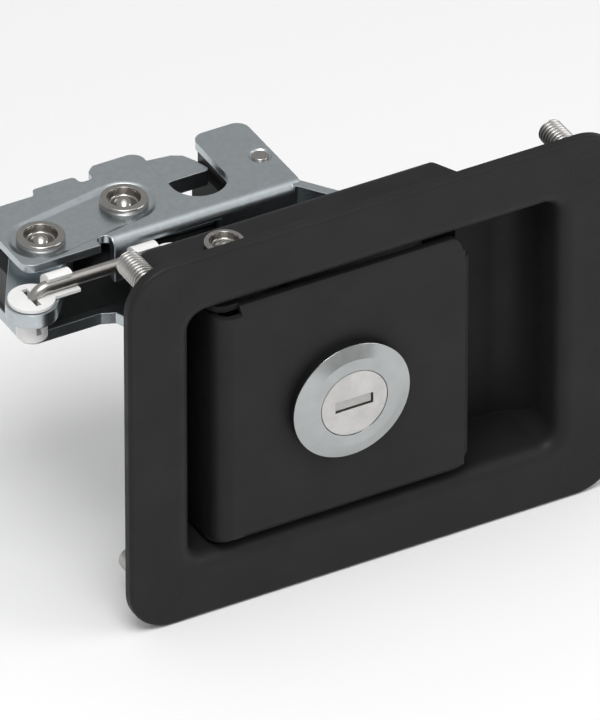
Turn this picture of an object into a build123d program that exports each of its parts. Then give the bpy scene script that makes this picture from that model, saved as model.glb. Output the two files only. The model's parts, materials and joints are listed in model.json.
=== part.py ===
# Paddle latch for a cabinet or toolbox door.
#
# A flush pan carries a lift-out paddle with a key lock. Lifting the paddle swings a lever
# through a window in the pan, and a link rod passes that swing to the trigger of a rotary
# latch bracketed behind the pan. The trigger's pawl then frees the rotor that holds the striker.
#
# Units are millimetres. The origin is the centre of the flange's rear face, X runs to the
# right across the pan, Y runs into the panel and Z is up.

import os
from math import cos, hypot, radians, sin

from build123d import *

os.makedirs("parts", exist_ok=True)

# ---- clearances --------------------------------------------------------------------------
running_clearance = 0.05
face_clearance = 0.2
washer_clearance = 0.1

# ---- pan ---------------------------------------------------------------------------------
flange_width = 123.0
flange_height = 95.3
flange_corner = 10.6
flange_thickness = 2.5
flange_edge_round = 0.9
pan_sheet = 1.5
pan_half_width = 46.0
pan_half_height = 32.5
pan_inner_corner = 4.0
pan_lip_radius = 3.3
pan_back_round = 2.6
pan_depth = 25.0
pan_shallow_depth = 17.0
step_start_x = 27.0
step_end_x = 31.0
scoop_start_x = 38.5
scoop_radius = 9.0
window_left = -44.0
window_right = -13.0
window_bottom = 14.0

# ---- mounting studs ----------------------------------------------------------------------
stud_radius = 3.0
stud_length = 15.0
stud_spacing_x = 105.2
stud_spacing_z = 78.8
stud_chamfer = 0.7

# ---- paddle ------------------------------------------------------------------------------
paddle_sheet = 1.6
paddle_front_y = -3.3
paddle_left = -39.9
paddle_right = 21.5
paddle_bend_radius = 4.0
paddle_fold_z = 28.7
paddle_bevel_z = 31.0
paddle_bevel_drop = 2.0
paddle_bevel_left = -33.7
paddle_end_bevel_x = 23.0
paddle_end_bevel_drop = 1.3
paddle_end_bevel_z = 26.6
paddle_relief_z = 29.4
paddle_ear_top = 31.5
paddle_side_back = 13.5
ear_hub_radius = 6.2
ear_setback = 2.6
ear_relief_width = 2.2

# ---- paddle hinge ------------------------------------------------------------------------
hinge_x = -28.3
hinge_y = 15.4
hinge_pin_radius = 2.5
hinge_head_radius = 4.5
hinge_head_height = 2.5
hinge_cup_radius = 3.35
hinge_cup_depth = 1.7
hinge_dome_radius = 2.3
washer_radius = 5.0

# ---- key lock ----------------------------------------------------------------------------
lock_x = -8.1
lock_z = 0.0
bezel_radius = 14.5
bezel_rim_y = -5.3
bezel_face_y = -6.9
bezel_face_radius = 11.2
bezel_rim_height = 0.4
barrel_radius = 9.5
plug_radius = 8.15
plug_gap = 0.18
plug_face_y = -6.85
barrel_end_wall = 1.6
plug_tail_radius = 5.0
key_slot_width = 9.4
key_slot_height = 2.7
key_slot_depth = 4.0
shutter_depth = 0.4
shutter_thickness = 0.6
shutter_gap = 0.35
lock_nut_flats = 25.0
lock_nut_thickness = 3.6
lock_washer_thickness = 1.0
lock_washer_radius = 12.6
cam_thickness = 1.8
cam_length = 17.0
cam_width = 11.0
cam_hub_radius = 7.5
cam_screw_radius = 2.0
cam_screw_head_radius = 4.2
cam_screw_head_height = 1.9
cam_screw_slot = 0.9
cam_to_rivet_gap = 0.7

# ---- rotary latch plates -----------------------------------------------------------------
latch_left = -67.8
latch_right = 1.0
latch_standoff = 8.2
plate_step_depth = 23.8
plate_mid_depth = 26.1
plate_right_depth = 27.7
plate_notch_depth = 23.4
top_plate_bottom = 29.4
top_plate_thickness = 2.0
bottom_plate_bottom = 10.4
bottom_plate_thickness = 2.8
flange_bottom = 20.5
clip_relief_left = -41.5
clip_relief_right = -19.5
clip_relief_top = 28.5
foot_bottom = 1.5
striker_x = -18.6
striker_slot_width = 13.0
striker_slot_floor = 5.6
striker_slot_depth = 27.9
plate_tab_left = -36.5
plate_notch_right = -38.5
plate_notch_left = -42.0
plate_step_right = -52.5
plate_step_left = -53.0
bottom_foot_left = -45.0
bottom_foot_corner = 4.5

# ---- rotor, pawl and trigger -------------------------------------------------------------
rotor_x = -36.9
rotor_setback = 12.5
rotor_bottom = 25.2
rotor_top = 29.2
rotor_reach = 24.5
rotor_nose_angle = 30.0
rotor_jaw_angle = -20.5
rotor_back_radius = 19.3
rotor_back_angle = 48.0
rotor_heel_radius = 12.4
rotor_heel_angle = -48.0
throat_left = 12.8
throat_top = 4.6
throat_bottom = -6.6
throat_corner = 1.8
rotor_hub_radius = 8.5
rotor_hub_middle = 205.0
rotor_hub_end = 285.0
rotor_sweep_clearance = 1.5
rotor_tooth_radius = 11.1
rotor_tooth_start = 85.0
rotor_tooth_end = 131.0
pawl_x = -59.6
pawl_setback = 8.6
pawl_face_angle = 143.0
pawl_tip_radius = 10.5
trigger_bottom = 23.3
trigger_thickness = 3.5
trigger_hub_radius = 7.0
trigger_end_radius = 5.8
rivet_shaft_radius = 4.0
rivet_collar_radius = 5.45
rivet_cup_radius = 3.75
rivet_cup_depth = 2.0
rivet_dome_radius = 2.6
rivet_head_top = 32.6

# ---- link rod ----------------------------------------------------------------------------
rod_radius = 1.5
rod_z = 29.2
rod_standoff = 2.5
rod_left_x = -69.5
rod_right_x = -34.9
rod_bend_radius = 4.0
rod_leg_bottom = 18.6
clip_disc_bottom = 26.95
clip_disc_thickness = 0.8
clip_boss_radius = 3.5
clip_boss_bottom = 17.5
clip_slit_bottom = 19.8
clip_slit_width = 1.3
trigger_clip_radius = 5.25
paddle_clip_radius = 4.4
lever_bottom = 24.3
lever_thickness = 2.5
lever_tip_radius = 5.4

# ---- bracket rivets ----------------------------------------------------------------------
bracket_rivet_radius = 2.0
bracket_head_radius = 3.6
bracket_head_height = 1.3

# ---- values that follow from the ones above ----------------------------------------------
pan_outer_half_width = pan_half_width + pan_sheet
pan_outer_half_height = pan_half_height + pan_sheet
pan_floor_y = pan_depth - pan_sheet
paddle_back_y = paddle_front_y + paddle_sheet
ear_bottom = paddle_ear_top - paddle_sheet
top_plate_top = top_plate_bottom + top_plate_thickness
bottom_plate_top = bottom_plate_bottom + bottom_plate_thickness
trigger_top = trigger_bottom + trigger_thickness
lever_top = lever_bottom + lever_thickness
rod_y = pan_depth + rod_standoff
latch_front = pan_depth + latch_standoff
rotor_y = latch_front + rotor_setback
pawl_y = latch_front + pawl_setback
striker_slot_bottom = latch_front + striker_slot_floor
striker_slot_back = latch_front + striker_slot_depth
barrel_back = (
    pan_floor_y
    - bracket_head_height
    - cam_to_rivet_gap
    - cam_screw_head_height
    - cam_thickness
    - face_clearance
)
plug_nose_depth = barrel_back - barrel_end_wall
slot_left = striker_x - striker_slot_width / 2
slot_right = striker_x + striker_slot_width / 2
core_top = rotor_bottom - face_clearance


def on_y(y):
    """Plane across the latch at depth y, with X to the right and Z up, facing into the panel."""
    return Plane(origin=(0, y, 0), x_dir=(1, 0, 0), z_dir=(0, -1, 0))


def on_z(z):
    """Level plane at height z, with X to the right and Y into the panel."""
    return Plane.XY.offset(z)


def save(builder, label):
    """Name the finished solid and write it out."""
    builder.part.label = label
    export_step(builder.part, f"parts/{label}.step")


def around(x, y, radius, angle):
    """Point at an angle and radius from a pivot."""
    return (x + radius * cos(radians(angle)), y + radius * sin(radians(angle)))


# ---- housing pan: flange and drawn tray with a finger scoop --------------------------------
def tray_profile(inset):
    """Plan outline of the tray, pulled in by the given wall thickness."""
    side = pan_outer_half_width - inset
    deep = pan_depth - inset
    shallow = pan_shallow_depth - inset
    scoop = scoop_radius - inset
    with BuildLine() as outline:
        Polyline(
            (side, shallow - scoop),
            (side, -flange_thickness),
            (-side, -flange_thickness),
            (-side, deep),
            (step_start_x - inset, deep),
            (step_end_x - inset, shallow),
            (side - scoop, shallow),
        )
        RadiusArc((side - scoop, shallow), (side, shallow - scoop), scoop)
    return outline.line


with BuildPart() as tray_outside:
    with BuildSketch(on_z(-pan_outer_half_height)):
        add(tray_profile(0))
        make_face()
    extrude(amount=2 * pan_outer_half_height)
    with BuildSketch(on_y(pan_depth)):
        RectangleRounded(
            2 * pan_outer_half_width, 2 * pan_outer_half_height, pan_inner_corner + pan_sheet
        )
    extrude(amount=pan_depth + flange_thickness, mode=Mode.INTERSECT)
    soft_edges = [
        edge
        for edge in tray_outside.edges().group_by(Axis.Y)[-1]
        if edge.center().Z < pan_half_height - 3 and edge.center().X < step_start_x - 1
    ]
    fillet(soft_edges, radius=pan_back_round)

with BuildPart() as tray_inside:
    with BuildSketch(on_z(-pan_half_height)):
        add(tray_profile(pan_sheet))
        make_face()
    extrude(amount=2 * pan_half_height)
    with BuildSketch(on_y(pan_depth)):
        RectangleRounded(2 * pan_half_width, 2 * pan_half_height, pan_inner_corner)
    extrude(amount=pan_depth + flange_thickness, mode=Mode.INTERSECT)

foot_rivets = [(-35.0, 6.0), (-8.0, 6.0), (11.2, 26.0)]

with BuildPart() as housing_pan:
    with BuildSketch(on_y(0)):
        RectangleRounded(flange_width, flange_height, flange_corner)
    extrude(amount=flange_thickness)
    front_edges = housing_pan.edges().group_by(Axis.Y)[0]
    fillet(front_edges, radius=flange_edge_round)
    add(tray_outside.part)
    add(tray_inside.part, mode=Mode.SUBTRACT)
    lip_edges = [
        edge
        for edge in housing_pan.edges().group_by(Axis.Y)[0]
        if abs(edge.center().X) < pan_half_width + 1 and abs(edge.center().Z) < pan_half_height + 1
    ]
    fillet(lip_edges, radius=pan_lip_radius)
    with BuildSketch(on_y(pan_depth + 1)):
        with Locations(((window_left + window_right) / 2, (window_bottom + pan_half_height) / 2)):
            Rectangle(window_right - window_left, pan_half_height - window_bottom)
    extrude(amount=pan_sheet + 2, mode=Mode.SUBTRACT)
    with BuildSketch(on_z(-pan_outer_half_height - 1)):
        with Locations((hinge_x, hinge_y)):
            Circle(hinge_pin_radius)
    extrude(amount=2 * pan_outer_half_height + 2, mode=Mode.SUBTRACT)
    with BuildSketch(on_y(pan_depth + 1)):
        with Locations(*foot_rivets):
            Circle(bracket_rivet_radius)
    extrude(amount=pan_sheet + 2, mode=Mode.SUBTRACT)
save(housing_pan, "housing_pan")

# ---- mounting studs: four M6 studs welded to the flange's rear face ------------------------
with BuildPart() as mounting_studs:
    with BuildSketch(on_y(stud_length)):
        with GridLocations(stud_spacing_x, stud_spacing_z, 2, 2):
            Circle(stud_radius)
    extrude(amount=stud_length)
    chamfer(mounting_studs.edges().group_by(Axis.Y)[-1], length=stud_chamfer)
save(mounting_studs, "mounting_studs")

# ---- hinge pin: plain pin with a cupped, domed rivet head outside each wall ----------------
def cupped_head(x, y, base, top, radius, cup_radius, cup_depth, dome):
    """Half section of a rivet head on an upright axis: flat rim, cup and a dome in the cup."""
    up = 1 if top > base else -1
    edge = 0.14 * radius
    with BuildSketch(Plane(origin=(x, y, 0), x_dir=(1, 0, 0), z_dir=(0, -1, 0))) as section:
        with BuildLine():
            Polyline(
                (0, base),
                (radius, base),
                (radius, top - up * 1.3 * edge),
                (radius - edge, top),
                (cup_radius, top),
                (cup_radius - 0.5 * edge, top - up * cup_depth),
                (dome, top - up * cup_depth),
            )
            TangentArc(
                (0, top - up * 0.25 * cup_depth), (dome, top - up * cup_depth), tangent=(1, 0)
            )
            Line((0, top - up * 0.25 * cup_depth), (0, base))
        make_face()
    return section.sketch


with BuildPart() as hinge_pin:
    with BuildSketch(on_z(-pan_outer_half_height)):
        with Locations((hinge_x, hinge_y)):
            Circle(hinge_pin_radius)
    extrude(amount=2 * pan_outer_half_height)
    for side in (1, -1):
        head_section = cupped_head(
            hinge_x,
            hinge_y,
            side * pan_outer_half_height,
            side * (pan_outer_half_height + hinge_head_height),
            hinge_head_radius,
            hinge_cup_radius,
            hinge_cup_depth,
            hinge_dome_radius,
        )
        revolve(head_section, axis=Axis((hinge_x, hinge_y, 0), (0, 0, 1)))
save(hinge_pin, "hinge_pin")

# ---- nylon washers between the paddle's ears and the pan's walls ---------------------------
with BuildPart() as paddle_washers:
    for side in (1, -1):
        with BuildSketch(on_z(side * (paddle_ear_top + washer_clearance))):
            with Locations((hinge_x, hinge_y)):
                Circle(washer_radius)
                Circle(hinge_pin_radius, mode=Mode.SUBTRACT)
        extrude(amount=side * (pan_half_height - paddle_ear_top - washer_clearance))
save(paddle_washers, "paddle_washers")

# ---- paddle: folded sheet with a bent left side and two hinge ears -------------------------
bend_x = paddle_left + paddle_bend_radius
bend_y = paddle_front_y + paddle_bend_radius


def paddle_skin(inset):
    """Bent edge of the paddle in plan, from its side wall round to its face."""
    with BuildLine() as outline:
        Polyline(
            (paddle_left + inset, paddle_side_back),
            (paddle_left + inset, bend_y),
        )
        RadiusArc(
            (paddle_left + inset, bend_y),
            (bend_x, paddle_front_y + inset),
            -(paddle_bend_radius - inset),
        )
        Line((bend_x, paddle_front_y + inset), (paddle_right, paddle_front_y + inset))
    return outline.line


with BuildPart() as paddle:
    # face and left side wall, as one bent sheet
    with BuildSketch(on_z(-paddle_relief_z)):
        with BuildLine():
            add(paddle_skin(0))
            Line((paddle_right, paddle_front_y), (paddle_right, paddle_back_y))
            add(paddle_skin(paddle_sheet))
            Line((paddle_left + paddle_sheet, paddle_side_back), (paddle_left, paddle_side_back))
        make_face()
    extrude(amount=2 * paddle_relief_z)
    # the face's long edges stop at the fold lines, right of the relief
    for side in (1, -1):
        with BuildSketch(on_z(side * paddle_fold_z)):
            with Locations(((paddle_bevel_left + paddle_right) / 2, paddle_front_y)):
                Rectangle(paddle_right - paddle_bevel_left, 4 * paddle_sheet)
        extrude(amount=side * (paddle_relief_z - paddle_fold_z), mode=Mode.SUBTRACT)
    # folded long edges, sloping back from the face
    for side in (1, -1):
        with BuildSketch(Plane.YZ.offset(paddle_bevel_left)):
            Polygon(
                (paddle_front_y, side * paddle_fold_z),
                (paddle_front_y + paddle_bevel_drop, side * paddle_bevel_z),
                (paddle_back_y + paddle_bevel_drop, side * paddle_bevel_z),
                (paddle_back_y, side * paddle_fold_z),
                align=None,
            )
        extrude(amount=paddle_right - 0.5 - paddle_bevel_left)
    # folded right edge
    with BuildSketch(on_z(-paddle_end_bevel_z)):
        Polygon(
            (paddle_right, paddle_front_y),
            (paddle_end_bevel_x, paddle_front_y + paddle_end_bevel_drop),
            (paddle_end_bevel_x, paddle_back_y + paddle_end_bevel_drop),
            (paddle_right, paddle_back_y),
            align=None,
        )
    extrude(amount=2 * paddle_end_bevel_z)
    # ears that reach back to the hinge, set back from the bent corner
    ear_right = bend_x + ear_relief_width
    ear_front = paddle_front_y + ear_setback
    for side in (1, -1):
        with BuildSketch(on_z(side * ear_bottom)):
            with BuildLine():
                Line((ear_right, ear_front), (bend_x, ear_front))
                RadiusArc(
                    (bend_x, ear_front),
                    (paddle_left, bend_y + ear_setback),
                    paddle_bend_radius,
                )
                Polyline(
                    (paddle_left, bend_y + ear_setback),
                    (paddle_left, paddle_side_back),
                    (hinge_x, hinge_y + ear_hub_radius),
                    (hinge_x + ear_hub_radius, hinge_y),
                    (ear_right, ear_front),
                )
            make_face()
            with Locations((hinge_x, hinge_y)):
                Circle(ear_hub_radius)
                Circle(hinge_pin_radius + running_clearance, mode=Mode.SUBTRACT)
        extrude(amount=side * paddle_sheet)
        # side wall joins the ear behind the bend
        wall_front = bend_y + ear_setback
        with BuildSketch(on_z(side * (paddle_relief_z - paddle_sheet))):
            with Locations(
                (paddle_left + paddle_sheet / 2, (wall_front + paddle_side_back) / 2)
            ):
                Rectangle(paddle_sheet, paddle_side_back - wall_front)
        extrude(amount=side * (paddle_ear_top - paddle_relief_z + paddle_sheet))
    # lock hole
    with BuildSketch(on_y(3)):
        with Locations((lock_x, lock_z)):
            Circle(barrel_radius)
    extrude(amount=8, mode=Mode.SUBTRACT)
    # rounded right ends of the folded long edges
    corner_edges = [
        edge
        for edge in paddle.edges()
        if abs(edge.center().X - paddle_right + 0.5) < 0.2
        and abs(abs(edge.center().Z) - paddle_bevel_z) < 0.1
    ]
    fillet(corner_edges, radius=1.8)
save(paddle, "paddle")

# ---- key lock: gasket, bezelled barrel, nut, washer, plug, cam and screw -------------------
with BuildPart() as bezel_gasket:
    with BuildSketch(on_y(paddle_front_y)):
        with Locations((lock_x, lock_z)):
            Circle(bezel_radius - face_clearance)
            Circle(barrel_radius, mode=Mode.SUBTRACT)
    extrude(amount=paddle_front_y - bezel_rim_y)
save(bezel_gasket, "bezel_gasket")

with BuildPart() as lock_body:
    # bezel, turned about the lock's axis
    with BuildSketch(Plane.XY):
        with BuildLine():
            Polyline(
                (lock_x + plug_radius + plug_gap, bezel_rim_y),
                (lock_x + bezel_radius, bezel_rim_y),
                (lock_x + bezel_radius, bezel_rim_y - bezel_rim_height),
                (lock_x + bezel_face_radius, bezel_face_y),
                (lock_x + plug_radius + plug_gap, bezel_face_y),
                close=True,
            )
        make_face()
    revolve(axis=Axis((lock_x, 0, lock_z), (0, 1, 0)))
    with BuildSketch(on_y(barrel_back)):
        with Locations((lock_x, lock_z)):
            Circle(barrel_radius)
            Circle(plug_radius + plug_gap, mode=Mode.SUBTRACT)
    extrude(amount=barrel_back - bezel_rim_y)
    # end wall with the hole for the plug's tail
    with BuildSketch(on_y(barrel_back)):
        with Locations((lock_x, lock_z)):
            Circle(barrel_radius)
            Circle(plug_tail_radius + running_clearance, mode=Mode.SUBTRACT)
    extrude(amount=barrel_back - plug_nose_depth)
save(lock_body, "lock_body")

with BuildPart() as lock_washer:
    with BuildSketch(on_y(paddle_back_y + lock_washer_thickness)):
        with Locations((lock_x, lock_z)):
            Circle(lock_washer_radius)
            Circle(barrel_radius, mode=Mode.SUBTRACT)
    extrude(amount=lock_washer_thickness)
save(lock_washer, "lock_washer")

with BuildPart() as lock_nut:
    nut_front = paddle_back_y + lock_washer_thickness
    with BuildSketch(on_y(nut_front + lock_nut_thickness)):
        with Locations((lock_x, lock_z)):
            RegularPolygon(lock_nut_flats / 2, 6, major_radius=False)
            Circle(barrel_radius, mode=Mode.SUBTRACT)
    extrude(amount=lock_nut_thickness)
    with BuildSketch(Plane.XY):
        with BuildLine():
            Polyline(
                (lock_x + barrel_radius, nut_front + lock_nut_thickness),
                (lock_x + lock_nut_flats / 2, nut_front + lock_nut_thickness),
                (lock_x + lock_nut_flats, nut_front),
                (lock_x + barrel_radius, nut_front),
                close=True,
            )
        make_face()
    revolve(axis=Axis((lock_x, 0, lock_z), (0, 1, 0)), mode=Mode.INTERSECT)
save(lock_nut, "lock_nut")

with BuildPart() as lock_plug:
    with BuildSketch(on_y(plug_nose_depth - running_clearance)):
        with Locations((lock_x, lock_z)):
            Circle(plug_radius)
    extrude(amount=plug_nose_depth - running_clearance - plug_face_y)
    with BuildSketch(on_y(barrel_back + face_clearance)):
        with Locations((lock_x, lock_z)):
            Circle(plug_tail_radius)
    extrude(amount=barrel_back + face_clearance - plug_nose_depth + running_clearance)
    with BuildSketch(on_y(plug_face_y)):
        with Locations((lock_x, lock_z)):
            Rectangle(key_slot_width, key_slot_height)
    extrude(amount=-key_slot_depth, mode=Mode.SUBTRACT)
save(lock_plug, "lock_plug")

cam_front = barrel_back + face_clearance
cam_back = cam_front + cam_thickness

with BuildPart() as lock_cam:
    with BuildSketch(on_y(cam_back)):
        with Locations((lock_x, lock_z)):
            Circle(cam_hub_radius)
        with Locations((lock_x, lock_z - (cam_length - cam_width / 2) / 2)):
            Rectangle(cam_width, cam_length - cam_width / 2)
        with Locations((lock_x, lock_z - cam_length + cam_width / 2)):
            Circle(cam_width / 2)
        with Locations((lock_x, lock_z)):
            Circle(cam_screw_radius, mode=Mode.SUBTRACT)
    extrude(amount=cam_thickness)
save(lock_cam, "lock_cam")

with BuildPart() as cam_screw:
    with BuildSketch(on_y(cam_back)):
        with Locations((lock_x, lock_z)):
            Circle(cam_screw_radius)
    extrude(amount=cam_thickness)
    with BuildSketch(on_y(cam_back + cam_screw_head_height)):
        with Locations((lock_x, lock_z)):
            Circle(cam_screw_head_radius)
    extrude(amount=cam_screw_head_height)
    fillet(cam_screw.edges().group_by(Axis.Y)[-1], radius=0.9)
    with BuildSketch(on_y(cam_back + cam_screw_head_height)):
        with Locations((lock_x, lock_z)):
            Rectangle(cam_screw_head_radius, cam_screw_slot)
            Rectangle(cam_screw_slot, cam_screw_head_radius)
    extrude(amount=0.8, mode=Mode.SUBTRACT)
save(cam_screw, "cam_screw")

with BuildPart() as key_shutter:
    with BuildSketch(on_y(plug_face_y + shutter_depth + shutter_thickness)):
        with Locations((lock_x - shutter_gap / 2, lock_z + shutter_gap / 2)):
            Rectangle(key_slot_width - shutter_gap, key_slot_height - shutter_gap)
    extrude(amount=shutter_thickness)
save(key_shutter, "key_shutter")

# ---- paddle lever: foot on the paddle's back, tip out through the pan's window -------------
lever_foot_start = 3.0
lever_foot_width = 10.0
lever_foot_height = 11.0
lever_foot_corner = 1.2

with BuildPart() as paddle_lever:
    foot_x = hinge_x + lever_foot_start + lever_foot_width / 2
    with BuildSketch(on_z(lever_bottom)):
        with Locations((hinge_x, hinge_y)):
            Circle(ear_hub_radius)
        with Locations((rod_right_x, rod_y)):
            Circle(lever_tip_radius)
        make_hull()
    extrude(amount=lever_thickness)
    with BuildSketch(on_z(lever_bottom)):
        with Locations((hinge_x, hinge_y)):
            Circle(ear_hub_radius)
        with Locations((foot_x, paddle_back_y + lever_thickness / 2)):
            Rectangle(lever_foot_width, lever_thickness)
        make_hull()
    extrude(amount=lever_thickness)
    with BuildSketch(on_y(paddle_back_y + lever_thickness)):
        with Locations((foot_x, lever_top - lever_foot_height / 2)):
            RectangleRounded(lever_foot_width, lever_foot_height, lever_foot_corner)
    extrude(amount=lever_thickness)
    with BuildSketch(on_z(lever_bottom)):
        with Locations((hinge_x, hinge_y)):
            Circle(hinge_pin_radius + running_clearance)
        with Locations((rod_right_x, rod_y)):
            Circle(clip_boss_radius + running_clearance)
    extrude(amount=lever_thickness, mode=Mode.SUBTRACT)
save(paddle_lever, "paddle_lever")


# ---- torsion springs: one on the hinge pin, one under the rotor, one under the pawl --------
def torsion_spring(x, y, bottom, mean_radius, wire_radius, turns, first_leg, last_leg):
    """Round-wire spring about an upright pivot, with a straight leg at each end."""
    pitch = 2.3 * wire_radius
    coil = Pos(x, y, bottom) * Helix(pitch=pitch, height=pitch * turns, radius=mean_radius)
    with BuildPart() as spring:
        with BuildSketch(Plane(origin=coil @ 0, z_dir=coil % 0)):
            Circle(wire_radius)
        sweep(path=coil, is_frenet=True)
        for corner, tip in ((coil @ 0, first_leg), (coil @ 1, last_leg)):
            along = Vector(*tip) - corner
            with BuildSketch(Plane(origin=corner, z_dir=along.normalized())):
                Circle(wire_radius)
            extrude(amount=along.length)
            with Locations(corner):
                Sphere(wire_radius)
    return spring


paddle_spring_radius = 3.6
paddle_spring_wire = 0.7
paddle_spring_bottom = -22.0
paddle_spring_arm = 8.0
spring_turns = 3.0

paddle_return_spring = torsion_spring(
    hinge_x,
    hinge_y,
    paddle_spring_bottom,
    paddle_spring_radius,
    paddle_spring_wire,
    spring_turns,
    (
        hinge_x + paddle_spring_radius,
        pan_floor_y - paddle_spring_wire - face_clearance,
        paddle_spring_bottom,
    ),
    (
        hinge_x + paddle_spring_arm,
        paddle_back_y + paddle_spring_wire + 2 * face_clearance,
        paddle_spring_bottom + 2.3 * spring_turns * paddle_spring_wire,
    ),
)
save(paddle_return_spring, "paddle_return_spring")

# ---- rotary latch: top plate, bottom plate and core share one plan -------------------------
plate_step_back = latch_front + plate_step_depth
plate_mid_back = latch_front + plate_mid_depth
plate_right_back = latch_front + plate_right_depth
plate_notch_floor = latch_front + plate_notch_depth
flange_left = -45.9
end_pin_x = -2.2
end_pin_setback = 13.7
end_pin_y = latch_front + end_pin_setback
plate_corner = 3.0
plate_small_corner = 1.2
notch_width = 3.4
notch_length = 3.1
end_pin_radius = 1.5
end_pin_head_radius = 1.95
end_pin_head_height = 0.6
end_pin_ring_radius = 2.7
end_pin_ring_depth = 0.4
strut_foot_left = 5.0
strut_foot_right = 15.8
strut_foot_bottom = 20.5
strut_foot_top = 30.9
rivet_pocket_depth = 0.9
rivet_pocket_radius = 7.6
rivet_pocket_slope = 56
rivet_pocket_round = 1.0
end_pin_ring_slope = 45


def slot_cutter(grow, bottom, height):
    """Striker slot with a round end, open to the back, widened all round by grow."""
    half = striker_slot_width / 2 + grow
    centre_y = striker_slot_bottom + striker_slot_width / 2
    with BuildPart(mode=Mode.PRIVATE) as cutter:
        with BuildSketch(on_z(bottom)):
            with Locations((striker_x, centre_y)):
                Circle(half)
            with Locations((striker_x, (centre_y + striker_slot_back + 3) / 2)):
                Rectangle(2 * half, striker_slot_back + 3 - centre_y)
        extrude(amount=height)
    return cutter.part


def back_outline(inset):
    """Stepped rear outline of the plates, from right to left."""
    return [
        (latch_right - inset, plate_right_back - inset),
        (striker_x, plate_right_back - inset),
        (striker_x, striker_slot_back - inset),
        (plate_tab_left + inset, striker_slot_back - inset),
        (plate_notch_right + inset, plate_mid_back - inset),
        (plate_notch_right + inset, plate_notch_floor - inset),
        (plate_notch_left - inset, plate_notch_floor - inset),
        (plate_notch_left - inset, plate_mid_back - inset),
        (plate_step_right + inset, plate_mid_back - inset),
        (plate_step_left + inset, plate_step_back - inset),
        (latch_left + inset, plate_step_back - inset),
    ]


def round_plate_corners(plate, bottom, top):
    """Round a plate's upright edges: large at its ends and the slot's mouth, small elsewhere."""
    large = [
        (latch_left, latch_front),
        (latch_right, plate_right_back),
        (slot_right, plate_right_back),
        (slot_left, striker_slot_back),
    ]
    upright = [
        edge
        for edge in plate.edges().filter_by(Axis.Z)
        if abs(edge.length - (top - bottom)) < 0.01 and edge.center().Y > latch_front - 0.01
    ]
    is_large = [
        any(hypot(edge.center().X - x, edge.center().Y - y) < 0.05 for x, y in large)
        for edge in upright
    ]
    fillet([edge for edge, big in zip(upright, is_large) if big], radius=plate_corner)
    fillet(
        [
            edge
            for edge in plate.edges().filter_by(Axis.Z)
            if abs(edge.length - (top - bottom)) < 0.01
            and edge.center().Y > plate_notch_floor - 0.5
            and edge.center().X < plate_tab_left + 0.5
        ],
        radius=plate_small_corner,
    )


pivots = [(rotor_x, rotor_y), (pawl_x, pawl_y)]

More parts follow.
